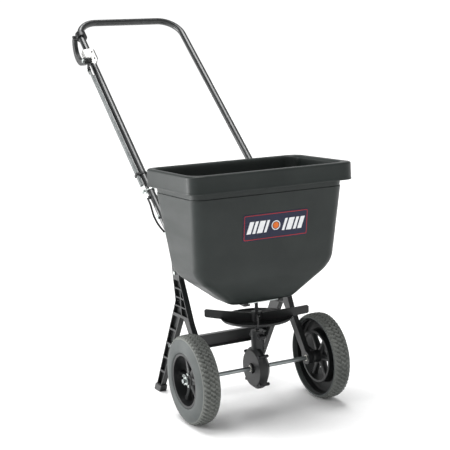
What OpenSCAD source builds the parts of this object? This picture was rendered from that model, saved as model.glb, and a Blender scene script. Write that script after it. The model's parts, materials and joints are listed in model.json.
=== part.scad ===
// Walk-behind broadcast spreader: hopper, sliding gate, spinning impeller driven from the
// wheels through a crown gear and pinion, and a bent tube handle with a flow lever.
// Millimetres, +Z up, front towards -Y. The origin is on the ground, mid-way along the
// machine. Inside part() the axle stands above y = 0.

/* [Wheels] */
// Diameter of a wheel over its tread
wheel_d = 254; // [240:1:264]
// Width of a tyre
tyre_w = 62; // [58:1:64]
// Distance between the middles of the two tyres
track_w = 418; // [414:1:420]
// Diameter of the axle
axle_d = 12; // [11.6:0.1:12.4]

/* [Hopper] */
// Width of the hopper over its rim
rim_w = 509; // [505:1:515]
// Depth of the hopper over its rim, front to rear
rim_l = 324; // [320:1:330]
// Height of the rim above the ground
rim_z = 709.5; // [700:0.5:720]
// Height of the rim's apron
apron_h = 49; // [40:1:56]
// Wall thickness of the hopper
hopper_t = 3.4; // [2.6:0.1:4]
// Travel of the gate plate between shut and open
gate_travel = 25.4; // [22:0.1:26]

/* [Handle] */
// Outer diameter of the handle tube
tube_d = 22; // [21.6:0.1:22.2]
// Wall of the handle tube
tube_t = 1.5; // [1.2:0.1:1.8]
// Lean of the handle from upright, in degrees
handle_lean = 48.24; // [48:0.02:48.5]
// Height of the top bar's centre line
bar_z = 1137; // [1120:1:1150]
// Radius of the bends beside the top bar, on the centre line
bend_r = 72; // [66:1:74]

/* [Impeller] */
// Radius over the vane tips
vane_r = 149; // [135:1:151]
// Number of vanes
vane_count = 4; // [3:1:6]
// Teeth of the crown gear on the axle
gear_teeth = 32; // [32:1:32]
// Teeth of the pinion on the upright shaft
pinion_teeth = 8; // [8:1:8]

/* [Hidden] */

$fn = 64;
hull_fn = 32;
eps = 0.01;
gap = 0.3;

// Frame heights and lengths, with y measured behind the axle.
axle_z = wheel_d / 2;
rim_front = -147;
rim_r = 40;
tan_lean = tan(handle_lean);
splice_z = 600;
splice_y = 256;
bar_u = (bar_z - splice_z) / cos(handle_lean);
bar_y = splice_y + (bar_z - splice_z) * tan_lean;
vane_a = -26.8;
vane_t = 3.2;
function vane_y(a) = vane_r * sin(a) - vane_t / 2 * abs(cos(a));
vane_front = min([for (i = [0:vane_count - 1]) vane_y(vane_a + i * 360 / vane_count)]);
mid_y = (min(rim_front, vane_front) + bar_y + tube_d / 2) / 2;

// Hopper body: half width, front and rear at each height, from the floor to the apron.
floor_z = 330;
floor_t = 6;
body_levels = [[100, -45, 62, 330, 22], [196, -77, 97, 404, 30], [212, -82.6, 103.5, 424, 32],
    [219, -86, 108.5, 442, 34], [235, -121, 162, 662, 38]];
body_low = body_levels[3];
body_top = body_levels[4];

// Side planes
leg_in = 158;
leg_out = 174;
tube_x = leg_out + tube_d / 2;
bolt_u = [-127, -60];
lower_tube_u = -152;

// Drive
tooth_pitch = 3 * PI;
gear_r = 48;
pinion_r = 12;
shaft_d = 10;
run_gap = 0.05;
case_left = -24;
case_right = 16;
neck_top = 236;
drive_pin_x = -224;
gear_pin_x = 3;
cotter_x = 236;
ear_at = 58;
ear_a = [45, 135, 225, 315];
ear_low = -19;
ear_high = 6;

// Lever and rod, in the handle's own frame: x across, w behind the tube, u up the tube.
pivot_u = 590;
pivot_w = -27.2;
crank_l = 30;
crank_half = 25;
pin_u = pivot_u - crank_l * sin(crank_half);
rod_x = -208.5;
rod_t = 8;
rod_link_t = 3;
crank_x = -213;
rod_low = 64.6;
wire_x = -204.5;
wire_z = 325;
ferrule_low = 14;
ferrule_high = 47;

// Route of the cable housing between its two ferrules.
conduit_route = [[-204.5, 266.2, 609.1], [-204.5, 250, 594.6], [-203, 243, 578], [-198, 240, 556],
    [-184, 238, 528], [-160, 232, 496], [-128, 216, 456], [-90, 196, 412], [-52, 182, 370],
    [-20, 176, 336], [0, 164, 325], [0, 151, 325]];

module part(tint) { color(tint) translate([0, -mid_y, 0]) children(); }
module both_sides() { children(); mirror([1, 0, 0]) children(); }
module on_handle(u = 0, w = 0, x = 0) {
    translate([0, splice_y, splice_z]) rotate([-handle_lean, 0, 0]) translate([x, w, u]) children();
}
module along_x(x0, x1) { translate([x0, 0, 0]) rotate([90, 0, 90]) linear_extrude(x1 - x0) children(); }
module rod_x(x0, x1, y, z, r) { translate([x0, y, z]) rotate([0, 90, 0]) cylinder(h = x1 - x0, r = r); }
module hex_x(x0, x1, y, z, across) {
    translate([x0, y, z]) rotate([0, 90, 0]) cylinder(h = x1 - x0, d = across / cos(30), $fn = 6);
}
module box(x0, x1, y0, y1, z0, z1) { translate([x0, y0, z0]) cube([x1 - x0, y1 - y0, z1 - z0]); }
module washer(x, t, y, z, r_out, r_in) {
    difference() {
        rod_x(x, x + t, y, z, r_out);
        rod_x(x - 1, x + t + 1, y, z, r_in);
    }
}
module round_rect(x0, x1, y0, y1, r) {
    for (x = [x0 + r, x1 - r], y = [y0 + r, y1 - r]) translate([x, y]) circle(r);
    translate([x0 + r, y0]) square([x1 - x0 - 2 * r, y1 - y0]);
    translate([x0, y0 + r]) square([x1 - x0, y1 - y0 - 2 * r]);
}

// ---- Hopper ----
module level(l, inset, z) {
    for (x = [-l[0], l[0]], y = [l[1], l[2]])
        translate([x - sign(x) * l[4], y - sign(y) * l[4], z])
            cylinder(h = eps, r = l[4] - inset, $fn = hull_fn);
}
module hopper_hull(inset) {
    hull() for (l = body_levels) level(l, inset, l[3]);
}
function wall_y(z, side) = body_low[side]
    + (body_top[side] - body_low[side]) * (z - body_low[3]) / (body_top[3] - body_low[3]);
function bolt_z(u) = splice_z + u * cos(handle_lean);
function bolt_y(u) = splice_y + u * sin(handle_lean);
lug_z = bolt_z(bolt_u[0]);
lug_y = bolt_y(bolt_u[0]);
low_lug_y = 165;
low_lug_z = 398;
port_front = -38;
port_rear = -14;
rail_screw_y = [-34, 50];

module hopper_lug(y, z, r, wall, hole_r) {
    difference() {
        union() {
            rod_x(leg_in - 8, leg_in, y, z, r);
            box(leg_in - 8, leg_in, wall, y, z - r, z + r);
        }
        rod_x(leg_in - 9, leg_in + 1, y, z, hole_r);
    }
}
module rim_block(inset, z0, z1) {
    translate([0, 0, z0]) linear_extrude(z1 - z0) round_rect(-rim_w / 2 + inset, rim_w / 2 - inset,
        rim_front + inset, rim_front + rim_l - inset, rim_r - inset);
}
module throat_block(inset, z0, z1) {
    translate([0, 0, z0]) linear_extrude(z1 - z0) round_rect(-body_top[0] + inset, body_top[0] - inset,
        body_top[1] + inset, body_top[2] - inset, body_top[4] - inset);
}
module hopper() part("#3a403f") {
    apron_z = rim_z - apron_h;
    difference() {
        union() {
            hopper_hull(0);
            rim_block(0, apron_z, rim_z);
            both_sides() {
                hopper_lug(lug_y, lug_z, 16, wall_y(lug_z, 2) - 2, 4.2);
                hopper_lug(low_lug_y, low_lug_z, 12, 86, 3.2);
            }
        }
        difference() {
            rim_block(hopper_t, apron_z - 1, rim_z - 4);
            throat_block(0, apron_z - 2, rim_z + 1);
        }
        throat_block(hopper_t, apron_z - 5, rim_z + 1);
        difference() {
            hopper_hull(hopper_t);
            translate([-150, -100, floor_z - 1]) cube([300, 200, floor_t + 1]);
        }
        translate([0, 0, floor_z - 1]) cylinder(h = floor_t + 2, r = 9.03);
        for (s = [-1, 1])
            box(s * 26 - 13, s * 26 + 13, port_front, port_rear, floor_z - 1, floor_z + floor_t + 1);
        for (s = [-1, 1], y = rail_screw_y) translate([s * 56, y, floor_z - 1]) cylinder(h = 5, r = 2);
    }
}
module hopper_label() part("#1d2238") {
    lean = atan((body_low[1] - body_top[1]) / (body_top[3] - body_low[3]));
    translate([14, wall_y(552, 1) - eps, 552]) rotate([90 + lean, 0, 0])
        linear_extrude(0.6) round_rect(-102, 102, -38, 38, 5);
}
module floor_bush() part("#d8d6cc") {
    difference() {
        union() {
            translate([0, 0, floor_z]) cylinder(h = floor_t, r = 9);
            translate([0, 0, floor_z + floor_t]) cylinder(h = 3, r = 13);
        }
        translate([0, 0, floor_z - 1]) cylinder(h = floor_t + 5, r = shaft_d / 2 + run_gap);
    }
}

// ---- Gate ----
gate_w = 50;
gate_front = -42;
rail_front = -46;
module gate_plate() part("#aab4b0") {
    slot_w = 6.5;
    difference() {
        box(-gate_w, gate_w, gate_front, 84, 327, 329);
        box(-slot_w, slot_w, -8 - gate_travel, 8, 326, 330);
    }
    box(-7, 7, 74, 84, 323, 327);
}
module gate_rails() part("#2c3030") {
    both_sides() difference() {
        union() {
            box(gate_w + 0.4, 62, rail_front, 76, 322, 330);
            box(44, gate_w + 0.4, rail_front, 76, 322, 326.4);
        }
        for (y = rail_screw_y) translate([56, y, 321]) cylinder(h = 10, r = 2.1);
    }
}
module rail_screws() part("#aab4b0") {
    for (s = [-1, 1], y = rail_screw_y) translate([s * 56, y, 0]) {
        head_z = y > 0 ? 319.5 : 322;
        translate([0, 0, head_z]) cylinder(h = 334 - head_z, r = 1.95);
        translate([0, 0, head_z - 2.4]) cylinder(h = 2.4, r = 4);
    }
}
module gate_cable_bracket() part("#aab4b0") {
    difference() {
        union() {
            box(-62, 62, 40, 120, 319.5, 322);
            box(-16, 16, 117, 120, 319.5, 334);
        }
        for (s = [-1, 1]) translate([s * 56, rail_screw_y[1], 319]) cylinder(h = 4, r = 2.1);
        translate([0, 116, wire_z]) rotate([-90, 0, 0]) cylinder(h = 5, r = 2.95);
    }
}
module lower_cable_ferrule() part("#aab4b0") {
    translate([0, 114, wire_z]) rotate([-90, 0, 0]) difference() {
        cylinder(h = 36, r = 2.9);
        translate([0, 0, -1]) cylinder(h = 38, r = 1.3);
    }
}
module lower_wire() part("#aab4b0") {
    translate([0, 84, wire_z]) rotate([-90, 0, 0]) cylinder(h = 38, r = 1);
}

// ---- Cable housing ----
function curve(a, b, c, d, t) = 0.5 * (2 * b + (c - a) * t
    + (2 * a - 5 * b + 4 * c - d) * t * t
    + (3 * b - a - 3 * c + d) * t * t * t);
function bend(p, i, t) = curve(p[max(i - 1, 0)], p[i], p[i + 1], p[min(i + 2, len(p) - 1)], t);
function smooth_route(p, n) = [for (i = [0:len(p) - 2], k = [0:n - 1]) bend(p, i, k / n), p[len(p) - 1]];
function unit(v) = v / norm(v);
function tangent(p, i) = unit(p[min(i + 1, len(p) - 1)] - p[max(i - 1, 0)]);
off_axis = [0.31, 0.22, 0.92];
function ring(c, t, r, n) = let (a = unit(cross(t, off_axis)), b = cross(t, a))
    [for (k = [0:n - 1]) c + r * (a * cos(k * 360 / n) + b * sin(k * 360 / n))];
function quad(i, k, n) = [i * n + k, i * n + (k + 1) % n, (i + 1) * n + (k + 1) % n, (i + 1) * n + k];
module swept_tube(path, r, sides) {
    count = len(path);
    points = [for (i = [0:count - 1]) each ring(path[i], tangent(path, i), r, sides)];
    skin = [for (i = [0:count - 2], k = [0:sides - 1]) quad(i, k, sides)];
    first = [for (k = [0:sides - 1]) sides - 1 - k];
    last = [for (k = [0:sides - 1]) (count - 1) * sides + k];
    polyhedron(points = points, faces = concat(skin, [first], [last]));
}
module cable_conduit() part("#202424") { swept_tube(smooth_route(conduit_route, 3), 3, 10); }
module upper_cable_ferrule() part("#aab4b0") {
    on_handle(ferrule_low, 0, wire_x) difference() {
        cylinder(h = ferrule_high - ferrule_low, r = 2.9);
        translate([0, 0, -1]) cylinder(h = ferrule_high - ferrule_low + 2, r = 1.3);
    }
}
module upper_cable_bracket() part("#aab4b0") {
    on_handle(40) difference() {
        union() {
            translate([-tube_x, 0, 0]) cylinder(h = 4, r = tube_d / 2 + 2.5);
            translate([wire_x - 6, -7, 0]) cube([14, 14, 4]);
        }
        translate([-tube_x, 0, -1]) cylinder(h = 6, r = tube_d / 2 + 0.02);
        translate([wire_x, 0, -1]) cylinder(h = 6, r = 2.95);
    }
}
module upper_wire() part("#aab4b0") {
    on_handle(ferrule_low + 2, 0, wire_x) cylinder(h = rod_low - ferrule_low - 2, r = 1);
}

// ---- Legs ----
function rear_y(z) = z < 316 ? 173 + (316 - z) * 0.584 : 173 + (z - 316) * 0.15;
function front_y(z) = z < 263 ? 82 - (263 - z) * 0.73 : 82 + (z - 263) * 0.479;
function strut_y(z) = 122 - (270 - z) * 0.76;
function stay_y(z) = 146 + (270 - z) * 0.665;
leg_low = 6;
web_y = 136;
crossbar_y = [238, 253];
crossbar_z = 160;
pocket_t = 4;
module leg_pocket(z0, z1, front0, front1, rear0, rear1) {
    polygon([[front0 + pocket_t, z0], [rear0 - pocket_t, z0],
        [rear1 - pocket_t, z1], [front1 + pocket_t, z1]]);
}
module leg_outline() {
    polygon([[-8, axle_z + 8], [front_y(263), 263], [front_y(382), 382], [136, 470], [131, 515],
        [216, 591], [243, 562], [197, 500], [rear_y(382), 382], [rear_y(316), 316],
        [rear_y(leg_low), leg_low], [stay_y(leg_low), leg_low], [stay_y(270), 270],
        [strut_y(270), 270], [strut_y(axle_z + 6), axle_z + 6], [6, axle_z - 4]]);
}
module leg() {
    difference() {
        union() {
            along_x(leg_in, leg_out) leg_outline();
            rod_x(leg_in, leg_out, 0, axle_z, 19);
        }
        rod_x(leg_in - 1, leg_out + 1, 0, axle_z, 9.03);
        for (u = bolt_u) rod_x(leg_in - 1, leg_out + 1, bolt_y(u), bolt_z(u), 4.2);
        for (y = crossbar_y) rod_x(leg_in - 1, leg_out + 1, y, crossbar_z, 3.2);
        along_x(leg_in + 6, leg_out + 1) {
            for (z = [24, 74, 124, 174, 224])
                leg_pocket(z, z + 44, stay_y(z), stay_y(z + 44), rear_y(z), rear_y(z + 44));
            for (z = [150, 196])
                leg_pocket(z, z + 40, front_y(z), front_y(z + 40), strut_y(z), strut_y(z + 40));
            for (z = [278, 304, 330]) {
                leg_pocket(z, z + 22, front_y(z), front_y(z + 22), web_y + 2, web_y + 2);
                leg_pocket(z, z + 22, web_y - 2, web_y - 2, rear_y(z), rear_y(z + 22));
            }
            leg_pocket(356, 378, front_y(356), front_y(378), rear_y(356), rear_y(378));
        }
        rod_x(leg_in - 1, leg_out + 1, low_lug_y, low_lug_z, 3.2);
    }
}
module left_leg() part("#2c3030") { mirror([1, 0, 0]) leg(); }
module foot_cap() {
    difference() {
        along_x(leg_in - 3, leg_out + 3) polygon([[stay_y(0) - 5, 0], [rear_y(0) + 4, 0],
            [rear_y(22) + 4, 22], [stay_y(22) - 4, 22]]);
        along_x(leg_in - gap / 3, leg_out + gap / 3) polygon([[stay_y(leg_low) - 0.1, leg_low],
            [rear_y(leg_low) + 0.1, leg_low], [rear_y(30) + 0.1, 30], [stay_y(30) - 0.1, 30]]);
    }
}
module leg_bush() {
    difference() {
        union() {
            rod_x(leg_in, leg_out, 0, axle_z, 9);
            rod_x(leg_out, leg_out + 2, 0, axle_z, 13);
        }
        rod_x(leg_in - 1, leg_out + 3, 0, axle_z, axle_d / 2 + run_gap);
    }
}
module rear_crossbar() part("#2c3030") {
    difference() {
        union() {
            box(-leg_in, leg_in, 244, 247, 138, 180);
            for (z = [138, 177]) box(-leg_in, leg_in, 231, 247, z, z + 3);
            both_sides() box(leg_in - 3, leg_in, 231, 261, 138, 180);
        }
        both_sides() for (y = crossbar_y) rod_x(leg_in - 4, leg_in + 1, y, crossbar_z, 3.2);
    }
}
module crossbar_bolts() part("#aab4b0") {
    both_sides() for (y = crossbar_y) {
        rod_x(leg_in - 9, leg_in + 6, y, crossbar_z, 3);
        hex_x(leg_in + 6, leg_in + 10, y, crossbar_z, 10);
        hex_x(leg_in - 8, leg_in - 3, y, crossbar_z, 10);
    }
}
module hopper_bolts() part("#aab4b0") {
    both_sides() {
        rod_x(leg_in - 14, leg_out + 4, low_lug_y, low_lug_z, 3);
        hex_x(leg_out, leg_out + 4, low_lug_y, low_lug_z, 10);
        hex_x(leg_in - 13, leg_in - 8, low_lug_y, low_lug_z, 10);
    }
}

// ---- Handle ----
module handle_path(r, spare) {
    straight = bar_u - bend_r;
    half = tube_x - bend_r;
    both_sides() {
        translate([tube_x, 0, -20 - spare]) cylinder(h = straight + 20 + spare, r = r);
        translate([half, 0, straight]) rotate([90, 0, 0])
            rotate_extrude(angle = 90) translate([bend_r, 0]) circle(r);
    }
    translate([-half, 0, bar_u]) rotate([0, 90, 0]) cylinder(h = 2 * half, r = r);
}
module bolt_hole_x(u, r = 3.2) { on_handle(u) rotate([0, 90, 0]) cylinder(h = 600, r = r, center = true); }
splice_bolt_u = 16.5;
module handle_bar() part("#3c4242") {
    difference() {
        on_handle() handle_path(tube_d / 2, 0);
        on_handle() handle_path(tube_d / 2 - tube_t, 1);
        bolt_hole_x(splice_bolt_u);
    }
}
module lower_tube() {
    neck_r = tube_d / 2 - tube_t - 0.05;
    difference() {
        on_handle(0, 0, tube_x) union() {
            translate([0, 0, lower_tube_u]) cylinder(h = -20 - lower_tube_u, r = tube_d / 2);
            translate([0, 0, -20 - eps]) cylinder(h = 60, r = neck_r);
        }
        on_handle(0, 0, tube_x) translate([0, 0, lower_tube_u - 1]) cylinder(h = 200, r = neck_r - tube_t);
        bolt_hole_x(splice_bolt_u);
        for (u = bolt_u) bolt_hole_x(u, 4.2);
    }
}
module splice_bolts() part("#2c3030") {
    both_sides() on_handle(splice_bolt_u) {
        rod_x(tube_x - 16, tube_x + 11, 0, 0, 3);
        hex_x(tube_x + 11, tube_x + 15, 0, 0, 10);
    }
}
module leg_bolts() part("#aab4b0") {
    both_sides() for (u = bolt_u) on_handle(u) {
        inner = u == bolt_u[0] ? leg_in - 8 : leg_in;
        rod_x(inner - 8, tube_x + 11, 0, 0, 4);
        hex_x(tube_x + 11, tube_x + 16.3, 0, 0, 13);
    }
}
module nut_x(x0, t, across, r) {
    difference() {
        hex_x(x0, x0 + t, 0, 0, across);
        rod_x(x0 - 1, x0 + t + 1, 0, 0, r);
    }
}
module handle_nuts() part("#aab4b0") {
    both_sides() {
        on_handle(splice_bolt_u) nut_x(tube_x - 16, 5, 10, 3.02);
        for (u = bolt_u) on_handle(u) nut_x((u == bolt_u[0] ? leg_in - 8 : leg_in) - 6.5, 6.5, 13, 4.02);
    }
}

// ---- Gearbox ----
case_profile = [[0, case_left], [52, case_left], [61, -13], [61, -3], [36, case_right], [0, case_right]];
cavity_profile = [[0, -21], [51, -21], [58, -12.5], [58, -4], [34, 13], [0, 13]];
module turned_x(profile) {
    translate([0, 0, axle_z]) rotate([0, 90, 0]) rotate_extrude() polygon(profile);
}
module case_solid() {
    turned_x(case_profile);
    translate([0, 0, axle_z + 26]) cylinder(h = neck_top - axle_z - 26, r = 19);
    rod_x(case_left - 5, case_left + 1, 0, axle_z, 15);
    rod_x(case_right - 1, case_right + 6, 0, axle_z, 15);
    for (a = ear_a) rod_x(ear_low, ear_high, ear_at * sin(a), axle_z + ear_at * cos(a), 5);
    for (s = [-1, 1]) rod_x(-8, 8, s * 24, 220, 7);
    for (s = [-1, 1]) box(-8, 8, min(s * 24, 0), max(s * 24, 0), 213, 227);
}
module case_hollow() {
    turned_x(cavity_profile);
    translate([0, 0, axle_z + 30]) cylinder(h = 36, r = 15.5);
    rod_x(case_left - 6, case_right + 7, 0, axle_z, 9.03);
    translate([0, 0, 192]) cylinder(h = 60, r = 8.03);
    for (a = ear_a) rod_x(ear_low - 1, ear_high + 1, ear_at * sin(a), axle_z + ear_at * cos(a), 2.6);
    for (a = ear_a) {
        rod_x(ear_low - 4, ear_low, ear_at * sin(a), axle_z + ear_at * cos(a), 4.8);
        rod_x(ear_high, ear_high + 4, ear_at * sin(a), axle_z + ear_at * cos(a), 4.8);
    }
    for (s = [-1, 1]) rod_x(-9, 9, s * 24, 220, 2.6);
}
module gearbox_left_case() part("#2c3030") {
    difference() {
        case_solid();
        case_hollow();
        box(0, 60, -100, 100, 0, 300);
    }
}
module gearbox_right_case() part("#2c3030") {
    difference() {
        union() {
            difference() {
                case_solid();
                case_hollow();
                box(-60, 0, -100, 100, 0, 300);
            }
            box(-9, 14, -11, 11, 147, 163);
        }
        translate([0, 0, 146]) cylinder(h = 18, r = 7.03);
    }
}
module gearbox_screws() part("#aab4b0") {
    ears = [for (a = ear_a) [ear_at * sin(a), axle_z + ear_at * cos(a), ear_low, ear_high]];
    spots = concat(ears, [[-24, 220, -8, 8], [24, 220, -8, 8]]);
    for (p = spots) {
        rod_x(p[2] - 3.5, p[3], p[0], p[1], 2.5);
        hex_x(p[3], p[3] + 3.5, p[0], p[1], 8);
        hex_x(p[2] - 3.5, p[2], p[0], p[1], 8);
    }
}
module gearbox_axle_bushes() part("#d8d6cc") {
    washer(case_left - 5, 8, 0, axle_z, 9, axle_d / 2 + run_gap);
    washer(13, 9, 0, axle_z, 9, axle_d / 2 + run_gap);
}
module upright_bush(z0, z1, r) {
    difference() {
        translate([0, 0, z0]) cylinder(h = z1 - z0, r = r);
        translate([0, 0, z0 - 1]) cylinder(h = z1 - z0 + 2, r = shaft_d / 2 + run_gap);
    }
}

// ---- Drive ----
module axle() part("#aab4b0") {
    end = 241;
    difference() {
        rod_x(-end, end, 0, axle_z, axle_d / 2);
        translate([drive_pin_x, 0, axle_z]) cylinder(h = 30, r = 2.5, center = true);
        translate([gear_pin_x, 0, axle_z]) cylinder(h = 30, r = 2.5, center = true);
        for (s = [-1, 1]) translate([s * cotter_x, 0, axle_z]) cylinder(h = 30, r = 1.6, center = true);
    }
}
module turned_wheel(side, profile) {
    translate([side * track_w / 2, 0, axle_z]) rotate([0, 90, 0]) rotate_extrude($fn = 96)
        polygon([for (p = profile) [p[0], side * p[1]]]);
}
module tyre(side) {
    half = tyre_w / 2;
    r = wheel_d / 2;
    turned_wheel(side, [[78, 12], [78, half - 4], [80, half - 1.5], [86, half], [98, half],
        [112, half - 4], [121, half - 9], [r, half - 14], [r, 13 - half], [122, 7 - half],
        [119, 4 - half], [114, 4 - half], [114, 12]]);
}
module hub(side, bore_r) {
    barrel_in = 178.1;
    barrel_out = 230;
    rim_in = -20;
    rim_out = 28;
    turned_wheel(side, [[70, rim_in], [77.9, rim_in], [77.9, 8], [113.7, 8], [113.7, 11.8],
        [77.9, 11.8], [77.9, rim_out], [70, rim_out]]);
    translate([side * track_w / 2, 0, axle_z]) rotate([0, 90, 0]) difference() {
        for (a = [30:60:330]) rotate(a) translate([0, -8, -9]) cube([72, 16, 18]);
        translate([0, 0, -22]) cylinder(h = 44, r = 16);
    }
    difference() {
        rod_x(side > 0 ? barrel_in : -barrel_out, side > 0 ? barrel_out : -barrel_in, 0, axle_z, 17);
        rod_x(-300, 300, 0, axle_z, bore_r);
        if (side < 0) translate([drive_pin_x, 0, axle_z]) cylinder(h = 60, r = 2.55, center = true);
    }
}
module axle_washers() part("#aab4b0") {
    both_sides() {
        washer(176.3, 1.5, 0, axle_z, 12, axle_d / 2 + 0.02);
        washer(230.3, 1.5, 0, axle_z, 12, axle_d / 2 + 0.02);
    }
}
module cotter_pins() part("#aab4b0") {
    both_sides() translate([cotter_x, 0, axle_z]) {
        cylinder(h = 22, r = 1.55, center = true);
        translate([0, 0, 15]) rotate([90, 0, 0]) rotate_extrude() translate([3.2, 0]) circle(1.2, $fn = 24);
    }
}
module drive_pin() part("#aab4b0") {
    translate([drive_pin_x, 0, axle_z]) cylinder(h = 40, r = 2.45, center = true);
    translate([drive_pin_x, 0, axle_z + 18]) cylinder(h = 2.5, r = 4.5);
}
module crown_gear() part("#d8d6cc") {
    tooth_w = 0.37 * tooth_pitch;
    difference() {
        union() {
            rod_x(-18, -14.6, 0, axle_z, 51.5);
            rod_x(-20.6, 12.7, 0, axle_z, 11);
            for (i = [0:gear_teeth - 1])
                translate([0, 0, axle_z]) rotate([(i + 0.5) * 360 / gear_teeth, 0, 0])
                    box(-14.7, -10.4, -tooth_w / 2, tooth_w / 2, 45.5, 50.5);
        }
        rod_x(-30, 30, 0, axle_z, axle_d / 2 + 0.02);
        translate([gear_pin_x, 0, axle_z]) cylinder(h = 40, r = 2.55, center = true);
    }
}
module pinion() part("#d8d6cc") {
    difference() {
        union() {
            translate([0, 0, 164]) cylinder(h = 22, r = 9.6);
            for (i = [0:pinion_teeth - 1]) rotate(180 + i * 360 / pinion_teeth)
                translate([0, 0, 168]) linear_extrude(14)
                    polygon([[9, -2.1], [13.8, -1.2], [13.8, 1.2], [9, 2.1]]);
        }
        translate([0, 0, 150]) cylinder(h = 50, r = shaft_d / 2 + 0.02);
    }
}
module impeller_shaft() part("#aab4b0") {
    difference() {
        translate([0, 0, 150]) cylinder(h = 222, r = shaft_d / 2);
        for (z = [280, 356]) translate([0, 0, z]) rotate([90, 0, 0]) cylinder(h = 30, r = 2, center = true);
    }
}
dish_low = 262;
dish_r = 103;
module dish_section() {
    polygon([[12, dish_low], [70, dish_low], [98, dish_low + 7], [dish_r, dish_low + 12],
        [dish_r, dish_low + 15], [96, dish_low + 10], [69, dish_low + 3], [12, dish_low + 3]]);
}
module vane_side() {
    polygon([[12, dish_low + 1], [70, dish_low + 1], [98, dish_low + 8], [dish_r, dish_low + 11],
        [vane_r - 4, dish_low + 18], [vane_r, dish_low + 22], [vane_r, dish_low + 38],
        [vane_r - 5, dish_low + 42], [110, dish_low + 37], [12, dish_low + 25]]);
}
module impeller() part("#2c3030") {
    difference() {
        union() {
            translate([0, 0, 256]) cylinder(h = 36, r = 15);
            rotate_extrude() dish_section();
            for (i = [0:vane_count - 1]) rotate(vane_a + i * 360 / vane_count)
                translate([0, vane_t / 2, 0]) rotate([90, 0, 0]) linear_extrude(vane_t) vane_side();
        }
        translate([0, 0, 250]) cylinder(h = 50, r = shaft_d / 2 + 0.02);
        translate([0, 0, 280]) rotate([90, 0, 0]) cylinder(h = 40, r = 2.05, center = true);
    }
}
module cross_pin(z, l) { translate([0, 0, z]) rotate([90, 0, 0]) cylinder(h = l, r = 1.95, center = true); }
module agitator() part("#d8d6cc") {
    difference() {
        union() {
            translate([0, 0, 346]) cylinder(h = 20, r = 10);
            for (a = [35, 215]) rotate(a) translate([8, 0, 350]) rotate([0, 90, 0]) cylinder(h = 38, r = 3.5);
        }
        translate([0, 0, 340]) cylinder(h = 40, r = shaft_d / 2 + 0.02);
        translate([0, 0, 356]) rotate([90, 0, 0]) cylinder(h = 40, r = 2.05, center = true);
    }
}

// ---- Flow lever ----
scale_screw_u = [565, 596];
scale_screw_w = -60;
module lever_bracket() part("#2c3030") {
    on_handle() difference() {
        union() {
            translate([-tube_x, 0, 612]) cylinder(h = 50, r = 16);
            along_x(-201.5, -196.2) polygon([[9, 662], [9, 644], [-10, 616], [-48, 562], [-64, 558],
                [-64, 602], [-42, 622], [-5, 662]]);
        }
        translate([-tube_x, 0, 600]) cylinder(h = 80, r = tube_d / 2 + 0.02);
        rod_x(-210, -180, pivot_w, pivot_u, 3.05);
        for (u = scale_screw_u) rod_x(-210, -190, scale_screw_w, u, 1.6);
    }
}
module scale_plate() part("#ececea") {
    on_handle() difference() {
        along_x(-203.5, -201.5) polygon([[14, 668], [14, 642], [-7, 612], [-46, 555], [-68, 551],
            [-68, 604], [-45, 628], [-6, 668]]);
        rod_x(-205, -200, pivot_w, pivot_u, 3.05);
        for (u = scale_screw_u) rod_x(-205, -200, scale_screw_w, u, 1.7);
    }
}
module scale_screws() part("#2c3030") {
    on_handle() for (u = scale_screw_u) {
        rod_x(-203.5, -197, scale_screw_w, u, 1.55);
        rod_x(-205.5, -203.5, scale_screw_w, u, 3.4);
    }
}
module lever_pivot_bolt() part("#aab4b0") {
    on_handle() {
        rod_x(-228.3, -190.4, pivot_w, pivot_u, 3);
        hex_x(-232.3, -228.3, pivot_w, pivot_u, 10);
        hex_x(-196.2, -191.2, pivot_w, pivot_u, 10);
    }
}
module lever_catch() part("#2c3030") {
    on_handle() difference() {
        translate([1.5 - tube_x, 0, 731]) cylinder(h = 22, r = 17.5);
        handle_path(tube_d / 2 + 0.02, 0);
    }
}
module rod_guides() part("#2c3030") {
    on_handle(104) difference() {
        union() {
            translate([-tube_x, 0, 0]) cylinder(h = 8, r = 13);
            translate([rod_x - 2.5, -8, 0]) cube([18, 16, 8]);
        }
        translate([-tube_x, 0, -1]) cylinder(h = 10, r = tube_d / 2 + 0.02);
        translate([rod_x - 0.35, -5.35, -1]) cube([rod_t + 0.7, 10.7, 10]);
    }
}
arc_u = 57;
arc_w = -26.8;
arc_r = 63;
tip_a = 36;
module arc_band(a0, a1, width) {
    intersection() {
        difference() {
            circle(arc_r + width / 2);
            circle(arc_r - width / 2);
        }
        polygon(concat([[0, 0]], [for (k = [0:6]) let (a = a0 + (a1 - a0) * k / 6) 120 * [cos(a), sin(a)]]));
    }
}
module flow_lever() part("#2c3030") {
    hub_a = atan2(-arc_w, -arc_u);
    on_handle(pivot_u, pivot_w) difference() {
        union() {
            rotate([0, -90, 0]) translate([arc_u, arc_w, 216]) linear_extrude(12) {
                arc_band(tip_a, hub_a, 19);
                translate(arc_r * [cos(tip_a), sin(tip_a)]) circle(9.5);
                translate(arc_r * [cos(tip_a - 9), sin(tip_a - 9)] + [5, 0]) circle(5);
            }
            rod_x(-228, -204, 0, 0, 11);
            rotate([-crank_half, 0, 0]) {
                translate([crank_x, 0, -5]) cube([3, crank_l, 10]);
                rod_x(crank_x, crank_x + 3, crank_l, 0, 5);
            }
        }
        rod_x(-240, -190, 0, 0, 3.05);
        rotate([-crank_half, 0, 0]) rod_x(crank_x - 1, crank_x + 4, crank_l, 0, 2.55);
    }
}
module crank_pin() part("#aab4b0") {
    on_handle(pivot_u, pivot_w) rotate([-crank_half, 0, 0]) {
        rod_x(crank_x, -204.4, crank_l, 0, 2.5);
        rod_x(crank_x - 1.5, crank_x, crank_l, 0, 4);
    }
}
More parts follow.
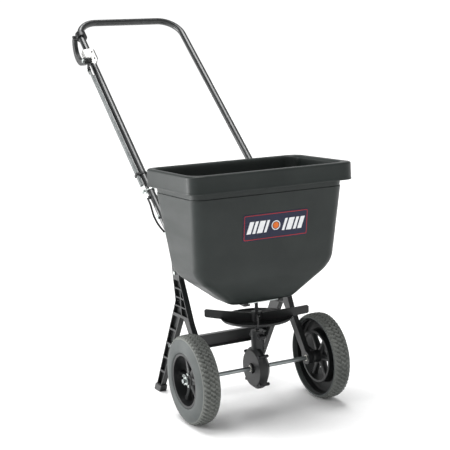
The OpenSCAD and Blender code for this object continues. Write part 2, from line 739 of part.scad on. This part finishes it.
module control_rod() part("#9aa5a2") {
    on_handle() difference() {
        union() {
            translate([rod_x, -5, rod_low]) cube([rod_t, 10, pin_u - 30 - rod_low]);
            translate([rod_x, -5, pin_u - 31]) cube([rod_link_t, 10, 22]);
            translate([rod_x, -9, pin_u - 10]) cube([rod_link_t, 20, 18]);
            translate([wire_x - 3.5, -5, rod_low]) cube([8, 10, 4]);
        }
        translate([rod_x - 1, -4.5, pin_u - 2.85]) cube([rod_link_t + 2, 12, 5.7]);
    }
}

// ---- Mirrored and repeated parts ----
module right_leg() part("#2c3030") leg();
module left_foot_cap() part("#2c3030") mirror([1, 0, 0]) foot_cap();
module right_foot_cap() part("#2c3030") foot_cap();
module left_axle_bush() part("#d8d6cc") mirror([1, 0, 0]) leg_bush();
module right_axle_bush() part("#d8d6cc") leg_bush();
module left_lower_tube() part("#3c4242") mirror([1, 0, 0]) lower_tube();
module right_lower_tube() part("#3c4242") lower_tube();
module upper_shaft_bush() part("#d8d6cc") upright_bush(193, neck_top, 8);
module lower_shaft_bush() part("#d8d6cc") upright_bush(147, 163, 7);
module crown_gear_pin() part("#aab4b0") translate([gear_pin_x, 0, axle_z])
    cylinder(h = 22, r = 2.45, center = true);
module left_tyre() part("#6f7674") tyre(-1);
module left_hub() part("#2c3030") hub(-1, axle_d / 2 + 0.02);
module right_tyre() part("#6f7674") tyre(1);
module right_hub() part("#2c3030") hub(1, axle_d / 2 + run_gap);
module impeller_pin() part("#aab4b0") cross_pin(280, 34);
module agitator_pin() part("#aab4b0") cross_pin(356, 26);

hopper();
hopper_label();
floor_bush();
gate_rails();
rail_screws();
gate_cable_bracket();
lower_cable_ferrule();
cable_conduit();
upper_cable_ferrule();
upper_cable_bracket();
left_leg();
right_leg();
left_foot_cap();
right_foot_cap();
rear_crossbar();
crossbar_bolts();
left_axle_bush();
right_axle_bush();
handle_bar();
left_lower_tube();
right_lower_tube();
splice_bolts();
leg_bolts();
handle_nuts();
hopper_bolts();
gearbox_left_case();
gearbox_right_case();
gearbox_screws();
gearbox_axle_bushes();
upper_shaft_bush();
lower_shaft_bush();
lever_bracket();
scale_plate();
scale_screws();
lever_pivot_bolt();
lever_catch();
rod_guides();
axle();
left_tyre();
left_hub();
crown_gear();
crown_gear_pin();
drive_pin();
axle_washers();
cotter_pins();
right_tyre();
right_hub();
impeller_shaft();
pinion();
impeller();
impeller_pin();
agitator();
agitator_pin();
flow_lever();
crank_pin();
control_rod();
upper_wire();
gate_plate();
lower_wire();
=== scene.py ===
"""Looks for the walk-behind broadcast spreader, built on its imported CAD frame.

Shapes are written in the part's own millimetres, measured from the axle: x across, y behind the
axle, z up from the ground. at() turns them into metres in the row frame.
"""
import json
import math

import bmesh
import bpy
from mathutils import Matrix, Vector


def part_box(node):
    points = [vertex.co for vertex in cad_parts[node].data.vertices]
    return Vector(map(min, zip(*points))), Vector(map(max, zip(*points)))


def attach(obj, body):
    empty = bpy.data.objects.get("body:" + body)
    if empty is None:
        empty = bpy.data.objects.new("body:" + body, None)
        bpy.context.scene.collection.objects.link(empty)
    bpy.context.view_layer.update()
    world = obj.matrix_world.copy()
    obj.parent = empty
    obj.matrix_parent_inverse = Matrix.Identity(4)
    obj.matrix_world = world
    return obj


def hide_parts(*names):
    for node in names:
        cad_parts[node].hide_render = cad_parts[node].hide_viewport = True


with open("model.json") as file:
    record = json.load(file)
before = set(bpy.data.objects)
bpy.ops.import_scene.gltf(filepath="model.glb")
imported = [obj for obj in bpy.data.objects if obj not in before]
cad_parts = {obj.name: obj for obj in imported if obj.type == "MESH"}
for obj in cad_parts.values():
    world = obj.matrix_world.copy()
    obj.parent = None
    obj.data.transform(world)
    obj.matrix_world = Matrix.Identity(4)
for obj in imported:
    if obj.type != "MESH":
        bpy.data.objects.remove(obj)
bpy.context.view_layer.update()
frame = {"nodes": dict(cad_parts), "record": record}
NODES = frame["nodes"]
MM = 0.001
TAU = 2 * math.pi

_tyre_low, _tyre_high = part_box("left_tyre")
AXLE_Y = (_tyre_low.y + _tyre_high.y) / 2
AXLE_Z = (_tyre_low.z + _tyre_high.z) / 2 / MM
TYRE_FACE = 31.0  # from the tyre's middle out to its outer face
WHEEL_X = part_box("right_tyre")[1].x / MM - TYRE_FACE

BODY_OF = {node: body for body, nodes in frame["record"]["behaviour"]["bodies"].items()
           for node in nodes}
HANDLE_LEAN = math.radians(48.24)
SPLICE = (256.0, 600.0)
LUG_BELOW_SPLICE = 127
LUG = (SPLICE[0] - LUG_BELOW_SPLICE * math.sin(HANDLE_LEAN),
       SPLICE[1] - LUG_BELOW_SPLICE * math.cos(HANDLE_LEAN))


def at(x, y, z):
    """A point in the row frame, in metres, from part millimetres."""
    return Vector((x * MM, y * MM + AXLE_Y, z * MM))


# ---------------------------------------------------------------- materials
class Shader:
    """A small builder of node materials on one Principled shader."""

    def __init__(self, name):
        self.mat = bpy.data.materials.new(name)
        self.mat.use_nodes = True
        self.tree = self.mat.node_tree
        self.bsdf = next(n for n in self.tree.nodes if n.type == "BSDF_PRINCIPLED")
        self.coord = self.node("ShaderNodeTexCoord").outputs["Object"]

    def node(self, kind, **values):
        made = self.tree.nodes.new(kind)
        for key, value in values.items():
            if key in made.inputs:
                made.inputs[key].default_value = value
            else:
                setattr(made, key, value)
        return made

    def link(self, a, b):
        self.tree.links.new(a, b)

    def set(self, **values):
        for key, value in values.items():
            self.bsdf.inputs[key.replace("_", " ")].default_value = value

    def stretched(self, scale):
        """Object coordinates scaled differently along each axis."""
        mapping = self.node("ShaderNodeMapping")
        mapping.inputs["Scale"].default_value = scale
        self.link(self.coord, mapping.inputs["Vector"])
        return mapping.outputs["Vector"]

    def noise(self, scale, detail=3.0, rough=0.55, vector=None):
        made = self.node("ShaderNodeTexNoise", Scale=scale, Detail=detail, Roughness=rough)
        self.link(vector or self.coord, made.inputs["Vector"])
        return made.outputs["Fac"]

    def ramp(self, value, low, high, a=0.0, b=1.0):
        """value from low..high mapped to a..b, clamped."""
        made = self.node("ShaderNodeMapRange")
        for key, number in zip(("From Min", "From Max", "To Min", "To Max"), (low, high, a, b)):
            made.inputs[key].default_value = number
        self.link(value, made.inputs["Value"])
        return made.outputs["Result"]

    def mix(self, factor, a, b):
        """Mix of two colours; each is a colour or a socket."""
        made = self.node("ShaderNodeMix", data_type="RGBA")
        self.link(factor, made.inputs[0])
        for socket, value in ((made.inputs[6], a), (made.inputs[7], b)):
            if isinstance(value, bpy.types.NodeSocket):
                self.link(value, socket)
            else:
                socket.default_value = (*value, 1)
        return made.outputs[2]

    def bump(self, height, strength, distance, round_edges=0.0, previous=None):
        made = self.node("ShaderNodeBump", Strength=strength, Distance=distance)
        self.link(height, made.inputs["Height"])
        if previous is not None:
            self.link(previous, made.inputs["Normal"])
        elif round_edges:
            bevel = self.node("ShaderNodeBevel", samples=4, Radius=round_edges)
            self.link(bevel.outputs["Normal"], made.inputs["Normal"])
        return made.outputs["Normal"]

    def out(self, colour=None, rough=None, normal=None):
        for key, socket in (("Base Color", colour), ("Roughness", rough), ("Normal", normal)):
            if socket is not None:
                self.link(socket, self.bsdf.inputs[key])
        return self.mat


def moulded(name, base, light, rough, grain=1400.0, bump=0.22, gloss_level=0.28):
    """Moulded plastic: fine grain with paler flecks, faint cloudy colour, uneven gloss."""
    s = Shader(name)
    cloud = s.noise(9.0, 4.0)
    fine = s.noise(grain, 2.0, 0.6)
    flow = s.noise(5.0, 3.0, 0.5, s.stretched((1.0, 1.0, 5.0)))
    tint = s.mix(s.ramp(cloud, 0.35, 0.7), base, light)
    tint = s.mix(s.ramp(fine, 0.56, 0.75, 0.0, 0.35), tint, light)
    s.set(Specular_IOR_Level=gloss_level)
    gloss = s.ramp(flow, 0.3, 0.7, rough - 0.05, rough + 0.07)
    coarse = s.bump(cloud, 0.05, 0.002, 0.8 * MM)
    return s.out(tint, gloss, s.bump(fine, bump, 0.00025, previous=coarse))


def metal(name, base, light, rough):
    """Plated or bare steel with drawn grain and uneven gloss."""
    s = Shader(name)
    drawn = s.noise(1.0, 4.0, 0.6, s.stretched((30.0, 900.0, 900.0)))
    cloud = s.noise(24.0, 4.0)
    tint = s.mix(s.ramp(cloud, 0.35, 0.68), base, light)
    s.set(Metallic=1.0)
    gloss = s.ramp(drawn, 0.3, 0.7, rough - 0.06, rough + 0.08)
    coarse = s.bump(cloud, 0.04, 0.001, 0.35 * MM)
    return s.out(tint, gloss, s.bump(drawn, 0.06, 0.0002, previous=coarse))


def painted(name, base, light, rough):
    """Powder coat: orange peel over steel."""
    s = Shader(name)
    peel = s.noise(420.0, 2.0, 0.5)
    cloud = s.noise(12.0, 4.0)
    tint = s.mix(s.ramp(cloud, 0.35, 0.7), base, light)
    s.set(Specular_IOR_Level=0.6, Coat_Weight=0.25, Coat_Roughness=0.22)
    gloss = s.ramp(cloud, 0.3, 0.7, rough - 0.04, rough + 0.06)
    return s.out(tint, gloss, s.bump(peel, 0.10, 0.0003, 0.5 * MM))


MATS = {
    "hopper": moulded("hopper_plastic", (0.0135, 0.0175, 0.0165), (0.019, 0.024, 0.0225), 0.40),
    "black": moulded("black_plastic", (0.0085, 0.0092, 0.0096), (0.014, 0.0155, 0.016), 0.38,
                     gloss_level=0.38),
    "tube": painted("painted_tube", (0.0070, 0.0085, 0.0088), (0.011, 0.013, 0.0135), 0.30),
    "tyre": moulded("tyre", (0.058, 0.065, 0.064), (0.092, 0.101, 0.099), 0.58, 900.0, 0.35),
    "tread": moulded("tyre_tread", (0.105, 0.112, 0.105), (0.165, 0.172, 0.160), 0.68, 700.0, 0.45),
    "zinc": metal("zinc_steel", (0.46, 0.50, 0.49), (0.60, 0.64, 0.62), 0.32),
    "dark": metal("dark_steel", (0.022, 0.023, 0.025), (0.045, 0.046, 0.048), 0.36),
    "nylon": moulded("nylon", (0.62, 0.60, 0.54), (0.70, 0.68, 0.62), 0.45),
    "white": moulded("white_plastic", (0.66, 0.66, 0.64), (0.72, 0.72, 0.70), 0.45),
    "cable": moulded("cable_cover", (0.007, 0.008, 0.0085), (0.012, 0.013, 0.0135), 0.42),
    "rod": metal("grey_rod", (0.13, 0.14, 0.14), (0.18, 0.19, 0.19), 0.40),
    "axle": metal("axle_steel", (0.30, 0.33, 0.33), (0.38, 0.41, 0.41), 0.38),
    "navy": moulded("label_navy", (0.0085, 0.0105, 0.032), (0.012, 0.015, 0.042), 0.30, 1800.0, 0.08),
    "red": moulded("label_red", (0.32, 0.010, 0.012), (0.40, 0.016, 0.016), 0.32, 1800.0, 0.08),
    "ink": moulded("label_white", (0.74, 0.75, 0.77), (0.82, 0.83, 0.84), 0.32, 1800.0, 0.08),
    "orange": moulded("label_orange", (0.62, 0.12, 0.014), (0.72, 0.17, 0.02), 0.32, 1800.0, 0.08),
}
SLOT_MATS = {
    "hopper_plastic": "hopper", "black_plastic": "black", "painted_tube": "tube",
    "tyre": "tyre", "zinc_steel": "zinc", "dark_steel": "dark", "nylon": "nylon",
    "white_plastic": "white", "label": "navy", "cable_cover": "cable",
}
NODE_MATS = {"control_rod": "rod", "axle": "axle", "impeller_shaft": "dark",
             "gearbox_screws": "dark"}


def finish_cad_nodes():
    """Every CAD node gets the material of its record slot, or its own finish."""
    for row in frame["record"]["subparts"]:
        finish = NODE_MATS.get(row["node"], SLOT_MATS[row["material_slot"]])
        node = NODES[row["node"]]
        node.data.materials.clear()
        node.data.materials.append(MATS[finish])


# ---------------------------------------------------------------- mesh tools
def piece(name, bm, mats, node, angle=35.0):
    """A mesh in part millimetres becomes an object that stands for a CAD node."""
    bmesh.ops.remove_doubles(bm, verts=bm.verts, dist=0.005)
    bmesh.ops.recalc_face_normals(bm, faces=bm.faces)
    for vert in bm.verts:
        vert.co = at(*vert.co)
    mesh = bpy.data.meshes.new(name)
    bm.to_mesh(mesh)
    bm.free()
    for key in mats:
        mesh.materials.append(MATS[key])
    mesh.polygons.foreach_set("use_smooth", [True] * len(mesh.polygons))
    mesh.set_sharp_from_angle(angle=math.radians(angle))
    obj = bpy.data.objects.new(name, mesh)
    bpy.context.scene.collection.objects.link(obj)
    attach(obj, BODY_OF[node])
    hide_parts(node)


def loft(bm, loops, closed=False, mats=None):
    """Quads between loops of the same length; closed joins the last loop to the first."""
    rows = [[bm.verts.new(p) for p in loop] for loop in loops]
    pairs = list(zip(rows, rows[1:]))
    if closed:
        pairs.append((rows[-1], rows[0]))
    for row, (a, b) in enumerate(pairs):
        for i in range(len(a)):
            j = (i + 1) % len(a)
            face = bm.faces.new((a[i], a[j], b[j], b[i]))
            face.material_index = mats[row] if mats else 0
    return rows


def region(bm, loops, place, low, high, mat=0):
    """A flat outline with holes, given as (u, v) loops, made solid from low to high."""
    rims = {low: [], high: []}
    for loop in loops:
        rows = {h: [bm.verts.new(place(u, v, h)) for u, v in loop] for h in (low, high)}
        for i in range(len(loop)):
            j = (i + 1) % len(loop)
            face = bm.faces.new((rows[low][i], rows[low][j], rows[high][j], rows[high][i]))
            face.material_index = mat
            for h in (low, high):
                rims[h].append(bm.edges.get((rows[h][i], rows[h][j])))
    for h in (low, high):
        made = bmesh.ops.triangle_fill(bm, use_beauty=True, edges=rims[h])["geom"]
        faces = [g for g in made if isinstance(g, bmesh.types.BMFace)]
        for face in faces:
            face.material_index = mat
        corners = list(dict.fromkeys(v for f in faces for v in f.verts))
        sides = list(dict.fromkeys(e for f in faces for e in f.edges))
        bmesh.ops.dissolve_limit(bm, angle_limit=0.01, verts=corners, edges=sides)


def circle(u, v, r, n=32):
    """A circle as a loop of (u, v)."""
    return [(u + r * math.cos(k * TAU / n), v + r * math.sin(k * TAU / n)) for k in range(n)]


def rounded(u0, u1, v0, v1, r, n=6):
    """A rounded rectangle as a loop of (u, v)."""
    spots = ((u1 - r, v1 - r), (u0 + r, v1 - r), (u0 + r, v0 + r), (u1 - r, v0 + r))
    return [(u + r * math.cos((q + k / n) * TAU / 4), v + r * math.sin((q + k / n) * TAU / 4))
            for q, (u, v) in enumerate(spots) for k in range(n + 1)]


def arc(n, start=0.0, end=90.0):
    """Sines and cosines of n + 1 angles between two, in degrees."""
    angles = (math.radians(start + (end - start) * k / n) for k in range(n + 1))
    return [(math.sin(a), math.cos(a)) for a in angles]


# ---------------------------------------------------------------- hopper
RIM_Z = 709.5
APRON_Z = 660.5
RIM = (254.5, -147.0, 177.0, 40.0)
WALL = 3.4
FLOOR_Z = (330.0, 336.0)
LEDGE_Z = 641.5
LUG_SPAN = (150.0, 158.0)
CORNER_STEPS = 12
SIDE_STEPS = 7
BODY = ((330, 100, -45, 62, 22), (404, 196, -77, 97, 30), (424, 212, -82.6, 103.5, 32),
        (442, 219, -86, 108.5, 34), (662, 235, -121, 162, 38), (720, 235, -121, 162, 38))
BODY_ROWS = (332.0, 335, 345, 360, 374, 386, 394, 399, 404, 409, 415, 420, 425, 430, 436, 440, 444,
             448, 466, 485, 510, 540, 570, 600, 622, 636, LEDGE_Z - 0.6, LEDGE_Z)


def body_at(z):
    """Half width, front, rear and corner radius of the hopper body at a height."""
    for low, high in zip(BODY, BODY[1:]):
        if z <= high[0]:
            break
    t = max(0.0, (z - low[0]) / (high[0] - low[0]))
    return [a + (b - a) * t for a, b in zip(low[1:], high[1:])]


def soft_body_at(z, inset=0.0):
    """The same with its creases softened over a little height."""
    near = min(5.0, z - FLOOR_Z[0])
    rows = [body_at(z + near * k / 3) for k in range(-3, 4)]
    hx, front, rear, r = (sum(row[i] for row in rows) / len(rows) for i in range(4))
    return hx - inset, front + inset, rear - inset, r - inset


def hopper_ring(hx, front, rear, r, z):
    """A rounded rectangle at a height, with steps in its corners and along its sides."""
    spots = ((hx - r, rear - r), (r - hx, rear - r), (r - hx, front + r), (hx - r, front + r))
    corners = []
    for q, (x, y) in enumerate(spots):
        turns = ((q + k / CORNER_STEPS) * TAU / 4 for k in range(CORNER_STEPS + 1))
        corners.append([Vector((x + r * math.cos(a), y + r * math.sin(a), z)) for a in turns])
    ring = []
    for q, points in enumerate(corners):
        after = corners[(q + 1) % 4][0]
        ring += points + [points[-1].lerp(after, k / SIDE_STEPS) for k in range(1, SIDE_STEPS)]
    return ring


def rim_ring(inset, z):
    """The rim's outline at a height, moved inwards."""
    hx, front, rear, r = RIM
    return hopper_ring(hx - inset, front + inset, rear - inset, r - inset, z)


def hopper_rings():
    """The shell as one strip of rings: up the outside, over the rim and down the inside."""
    proud, sunk, lip = -0.9, 1.3, 1.0
    rings = [hopper_ring(*soft_body_at(FLOOR_Z[0], 2.5), FLOOR_Z[0])]
    rings += [hopper_ring(*soft_body_at(z, proud if z > 334 else 0.3), z) for z in BODY_ROWS]
    rings += [hopper_ring(*soft_body_at(z, i), z) for z, i in
              ((LEDGE_Z + 0.7, proud + 0.5), (LEDGE_Z + 1.3, sunk), (651, sunk), (664, sunk),
               (RIM_Z - 7, sunk), (RIM_Z - 4.6, sunk - 0.6))]
    rings += [rim_ring(WALL + 1.0, RIM_Z - 4), rim_ring(WALL, RIM_Z - 5),
              rim_ring(WALL, APRON_Z + 1),
              rim_ring(WALL - 0.8, APRON_Z), rim_ring(0.8, APRON_Z), rim_ring(0.1, APRON_Z + 0.8),
              rim_ring(0.0, APRON_Z + 4.2), rim_ring(lip * 0.5, APRON_Z + 5.4),
              rim_ring(lip, APRON_Z + 6.6)]
    outer_r, inner_r = 6.0, 9.0
    rings += [rim_ring(lip + outer_r * (1 - c), RIM_Z - outer_r * (1 - s)) for s, c in arc(6)]
    hx, front, rear, r = body_at(RIM_Z)
    for s, c in arc(7):
        out = inner_r * (1 - s) - WALL
        rings.append(hopper_ring(hx + out, front - out, rear + out, r + out,
                                 RIM_Z - inner_r * (1 - c)))
    rings += [hopper_ring(*soft_body_at(z, WALL), z) for z in
              (690, 670, 655, 640, 620, 590, 560, 520, 485, *reversed(BODY_ROWS[4:18]), 345, 340)]
    rings += [hopper_ring(*soft_body_at(337.2, WALL + 0.5), 337.2),
              hopper_ring(*soft_body_at(FLOOR_Z[1], WALL + 2.2), FLOOR_Z[1])]
    return rings


def make_hopper():
    """The shell with its floor, its ports and the four lugs that carry it."""
    bm = bmesh.new()
    rows = loft(bm, hopper_rings())
    holes = [circle(0, 0, 9.03)]
    holes += [rounded(s * 26 - 13, s * 26 + 13, -38, -14, 2.0) for s in (-1, 1)]
    holes += [circle(s * 56, y, 2.0, 20) for s in (-1, 1) for y in (-34, 50)]
    for ring, z in ((rows[0], FLOOR_Z[0]), (rows[-1], FLOOR_Z[1])):
        edges = [bm.edges.get((a, b)) for a, b in zip(ring, ring[1:] + ring[:1])]
        for loop in holes:
            spots = [bm.verts.new((u, v, z)) for u, v in loop]
            edges += [bm.edges.new(pair) for pair in zip(spots, spots[1:] + spots[:1])]
        bmesh.ops.triangle_fill(bm, use_beauty=True, edges=edges)
    for loop in holes:
        loft(bm, [[(u, v, z) for u, v in loop] for z in FLOOR_Z])
    for side in (-1, 1):
        for y, z, r, hole in ((LUG[0], LUG[1], 16, 4.2), (165, 398, 12, 3.2)):
            roots = [(soft_body_at(z + h)[2] - 1.5, z + h) for h in (r, -r)]
            outline = roots + [(y + r * c, z + r * s) for s, c in arc(14, -90, 90)]
            region(bm, [outline, circle(y, z, hole)], lambda u, v, h: (side * h, u, v),
                   *LUG_SPAN)
    piece("hopper_shell", bm, ["hopper"], "hopper", 38)


def make_label():
    """A plain navy plate with a red line, slanted white bars and a dot, and no lettering."""
    lean = math.atan2(35, 220)
    middle = (14.0, body_at(552)[1], 552.0)

    def place(u, v, h):
        return (middle[0] + u, middle[1] - math.sin(lean) * v - math.cos(lean) * h,
                middle[2] + math.cos(lean) * v - math.sin(lean) * h)

    bm = bmesh.new()
    base, top, print_t = 0.75, 1.6, 0.14
    ink = (top - 0.05, top + print_t)
    red, white, orange = 1, 2, 3
    region(bm, [rounded(-102, 102, -38, 38, 5)], place, base, top)
    region(bm, [rounded(-99, 99, -35, 35, 4), rounded(-97.2, 97.2, -33.2, 33.2, 3)], place,
           *ink, red)
    slant, tall = 0.30, 17.0
    for start, width in ((-86, 13), (-68, 9), (-54, 17), (-32, 8), (24, 8), (37, 17), (59, 9),
                         (73, 13)):
        bar = [(start - slant * tall, -tall), (start + width - slant * tall, -tall),
               (start + width + slant * tall, tall), (start + slant * tall, tall)]
        region(bm, [bar], place, *ink, white)
    region(bm, [circle(0, 0, 13.5, 48), circle(0, 0, 11, 48)], place, *ink, white)
    region(bm, [circle(0, 0, 9, 40)], place, *ink, orange)
    piece("label_plate", bm, ["navy", "red", "ink", "orange"], "hopper_label")


# ---------------------------------------------------------------- wheels
LUGS = 56
LUG_STEPS = 8
TREAD_HALF = 23.6
SPOKES = 6
SPOKE_SIDES = 16


def on_wheel(side, r, h, a):
    """A point at radius r and turn a, h outwards from the middle of the tyre."""
    return (side * (WHEEL_X + h), r * math.sin(a), AXLE_Z + r * math.cos(a))


def wheel_loops(side, profile, n):
    """One loop of n points round the wheel for each (r, h)."""
    return [[on_wheel(side, r, h, k * TAU / n) for k in range(n)] for r, h in profile]


def lathe(bm, side, profile, n=96):
    """A closed profile of (r, h) turned about the axle."""
    loft(bm, wheel_loops(side, profile, n), True)


def lug_height(turn, h):
    """Height of the tread over its grooves, from 0 to 1."""
    row = 0 if abs(h) < 7.2 else 1
    if 7.0 < abs(h) < 8.6 or abs(h) > 23.0:
        return 0.0
    phase = (turn * LUGS + 0.5 * row + 0.03 * h + 0.14 * math.sin(h * 0.4)) % 1.0
    return min(1.0, max(0.0, (0.32 - abs(phase - 0.5)) * 9.0))


def make_tyre(side, node):
    """A rounded sidewall and three staggered rows of slanted lugs."""
    wall = [(78, 14), (78, 26.5), (78.6, 28.4), (80.4, 29.9), (83, 30.7), (87, 31), (93, 30.9),
            (99, 30.4), (105, 29.3), (110, 27.9), (113.6, 26.5), (115.4, 25.6), (116.4, 25.9),
            (118.6, 25.2), (120, 24.0)]
    across = [TREAD_HALF, 22, 19, 15, 10.6, 8.8, 8.2, 7.4, 6.8, 3.4, 0]
    across += [-h for h in reversed(across[:-1])]
    inner = [(120.4, -24.4), (119.4, -26.2), (117.4, -27), (115, -27), (114, -26), (114, 12.4)]
    n = LUGS * LUG_STEPS
    bm = bmesh.new()
    loops = wheel_loops(side, wall, n)
    for h in across:
        base = 121.8 - 2.0 * (abs(h) / TREAD_HALF) ** 3
        rise = 5.1 - 2.1 * (abs(h) / TREAD_HALF) ** 4
        loops.append([on_wheel(side, base + rise * lug_height(k / n, h * side), h, k * TAU / n)
                      for k in range(n)])
    loops += wheel_loops(side, inner, n)
    tread = range(len(wall) - 3, len(wall) + len(across) + 1)
    mats = [1 if row in tread else 0 for row in range(len(loops))]
    loft(bm, loops, True, mats)
    piece(node + "_tread", bm, ["tyre", "tread"], node, 42)


def make_hub(side, node):
    """Rim ring with its web, six tapered spokes and a stepped barrel."""
    bm = bmesh.new()
    lathe(bm, side, [(70, -18.8), (70.4, -12), (71.6, 0), (71.2, 12), (70.2, 24), (70, 27), (71, 28),
                     (76.8, 28), (77.9, 27), (77.9, 11.9), (113.2, 11.9), (113.8, 11.3),
                     (113.8, -13.4), (113, -14), (111.8, -14), (111, -13), (111, 4), (107.5, 7.6),
                     (82, 7.6), (77.9, 4), (77.9, -19), (76.8, -20), (71, -20)])
    low, high = 178.1 - WHEEL_X, 230.0 - WHEEL_X
    bore = 6.06
    lathe(bm, side, [(bore, low + 0.4), (bore, high - 0.4), (bore + 0.6, high), (11, high),
                     (12.5, high - 1.4), (13.4, high - 5), (17, high - 6.5), (17.8, high - 9),
                     (19, 8), (21, 2), (19, -8), (17.4, low + 8), (16.4, low + 1.2),
                     (15.2, low)], 48)
    for k in range(SPOKES):
        turn = math.radians(30 + 60 * k)
        loops = []
        for r, wide, deep, shift in ((15, 12.5, 11.5, 1.0), (22, 10.4, 10.6, 1.0),
                                     (34, 8.4, 9.2, 0.5), (50, 7.2, 8.2, 0), (62, 7.4, 8.4, 0),
                                     (68, 8.6, 9.4, 0), (72.5, 10.6, 10.8, 0)):
            ring = []
            for j in range(SPOKE_SIDES):
                b = j * TAU / SPOKE_SIDES
                u = wide * math.copysign(abs(math.cos(b)) ** 0.55, math.cos(b))
                v = deep * math.copysign(abs(math.sin(b)) ** 0.55, math.sin(b))
                ring.append(on_wheel(side, math.hypot(r, u), v + shift, turn + math.atan2(u, r)))
            loops.append(ring)
        rows = loft(bm, loops)
        bm.faces.new(rows[0])
        bm.faces.new(rows[-1])
    piece(node + "_spoked", bm, ["black"], node, 38)


# ---------------------------------------------------------------- cable housing
CONDUIT = ((-204.5, 266.2, 609.1), (-204.5, 250, 594.6), (-203, 243, 578), (-198, 240, 556),
           (-184, 238, 528), (-160, 232, 496), (-128, 216, 456), (-90, 196, 412), (-52, 182, 370),
           (-20, 176, 336), (0, 164, 325), (0, 151, 325))


def smooth_route(points, steps):
    """Points on a Catmull-Rom curve through the given ones."""
    points = [Vector(p) for p in points]
    ends = [2 * points[0] - points[1]] + points + [2 * points[-1] - points[-2]]
    route = []
    for a, b, c, d in zip(ends, ends[1:], ends[2:], ends[3:]):
        for k in range(steps):
            t = k / steps
            route.append(0.5 * (2 * b + (c - a) * t + (2 * a - 5 * b + 4 * c - d) * t * t
                                + (3 * b - a - 3 * c + d) * t ** 3))
    return route + [points[-1]]


def make_cable():
    """The housing of the flow cable, a tube along its route with slightly drawn-in ends."""
    route = smooth_route(CONDUIT, 8)
    radius, sides = 3.0, 14
    bm = bmesh.new()
    loops = []
    across = Vector((1, 0, 0))
    for i, point in enumerate(route):
        ahead = (route[min(i + 1, len(route) - 1)] - route[max(i - 1, 0)]).normalized()
        across = (across - ahead * across.dot(ahead)).normalized()
        other = ahead.cross(across)
        r = radius * (0.86 if i in (0, len(route) - 1) else 1.0)
        turns = (k * TAU / sides for k in range(sides))
        loops.append([point + (across * math.cos(a) + other * math.sin(a)) * r for a in turns])
    rows = loft(bm, loops)
    bm.faces.new(rows[0])
    bm.faces.new(rows[-1])
    piece("cable_housing", bm, ["cable"], "cable_conduit")


# ---------------------------------------------------------------- stage
def make_stage():
    """A wide pale floor."""
    s = Shader("stage_paper")
    paper = s.noise(60.0, 3.0)
    tint = s.mix(s.ramp(paper, 0.3, 0.7), (0.91, 0.91, 0.91), (0.93, 0.93, 0.93))
    s.set(Roughness=0.9, Specular_IOR_Level=0.15)
    s.out(tint, None, s.bump(paper, 0.02, 0.0005))
    reach = 30.0
    mesh = bpy.data.meshes.new("floor")
    mesh.from_pydata([(x, y, 0) for x, y in ((-reach, -reach), (reach, -reach), (reach, reach),
                                             (-reach, reach))], [], [(0, 1, 2, 3)])
    mesh.materials.append(s.mat)
    floor = bpy.data.objects.new("floor", mesh)
    bpy.context.scene.collection.objects.link(floor)


def light(name, place, size, power):
    """A soft box aimed at the middle of the machine."""
    data = bpy.data.lights.new(name, "AREA")
    data.shape = "RECTANGLE"
    data.size, data.size_y = size
    data.energy = power
    lamp = bpy.data.objects.new(name, data)
    lamp.location = place
    aim = Vector((0, 0, 0.5)) - Vector(place)
    lamp.rotation_euler = aim.to_track_quat("-Z", "Y").to_euler()
    bpy.context.scene.collection.objects.link(lamp)


def make_lights():
    """A pale band of sky round the horizon over a dimmer dome, a wide sun and two soft boxes."""
    world = bpy.data.worlds.new("studio")
    world.use_nodes = True
    tree = world.node_tree
    background = tree.nodes["Background"]
    split = tree.nodes.new("ShaderNodeSeparateXYZ")
    tree.links.new(tree.nodes.new("ShaderNodeTexCoord").outputs["Generated"], split.inputs[0])
    fade = tree.nodes.new("ShaderNodeMapRange")
    for key, value in (("From Min", 0.10), ("From Max", 0.45), ("To Min", 1.0), ("To Max", 0.36)):
        fade.inputs[key].default_value = value
    tree.links.new(split.outputs["Z"], fade.inputs["Value"])
    tree.links.new(fade.outputs["Result"], background.inputs["Strength"])
    background.inputs["Color"].default_value = (1.0, 1.0, 1.0, 1)
    bpy.context.scene.world = world
    sun = bpy.data.lights.new("sun", "SUN")
    sun.energy = 2.8
    sun.angle = math.radians(38)
    lamp = bpy.data.objects.new("sun", sun)
    lamp.rotation_euler = Vector((0.03, -0.13, -1)).to_track_quat("-Z", "Y").to_euler()
    bpy.context.scene.collection.objects.link(lamp)
    light("side", (-2.3, 1.1, 0.75), (1.5, 1.3), 55)
    light("key", (-2.4, -0.6, 2.2), (1.2, 1.2), 14)
    view = bpy.context.scene.view_settings
    view.view_transform = "Standard"
    view.exposure = 0.12


def make_camera():
    """The picture's point of view, found by fitting the machine's own points."""
    data = bpy.data.cameras.new("camera")
    data.sensor_width = 36.0
    data.lens = 87.51
    data.clip_end = 60.0
    yaw, pitch, roll = (math.radians(a) for a in (26.77, -9.13, -2.46))
    ahead = Vector((math.sin(yaw) * math.cos(pitch), math.cos(yaw) * math.cos(pitch),
                    math.sin(pitch)))
    right = Vector((math.cos(yaw), -math.sin(yaw), 0))
    up = right.cross(ahead)
    side = right * math.cos(roll) + up * math.sin(roll)
    top = up * math.cos(roll) - right * math.sin(roll)
    turn = Matrix((side, top, -ahead)).transposed()
    camera = bpy.data.objects.new("camera", data)
    camera.matrix_world = Matrix.Translation(at(-1439.5, -2677.3, 1032.2)) @ turn.to_4x4()
    bpy.context.scene.collection.objects.link(camera)
    bpy.context.scene.camera = camera


finish_cad_nodes()
make_hopper()
make_label()
for side, word in ((-1, "left"), (1, "right")):
    make_tyre(side, word + "_tyre")
    make_hub(side, word + "_hub")
make_cable()
make_stage()
make_lights()
make_camera()
bpy.context.view_layer.update()
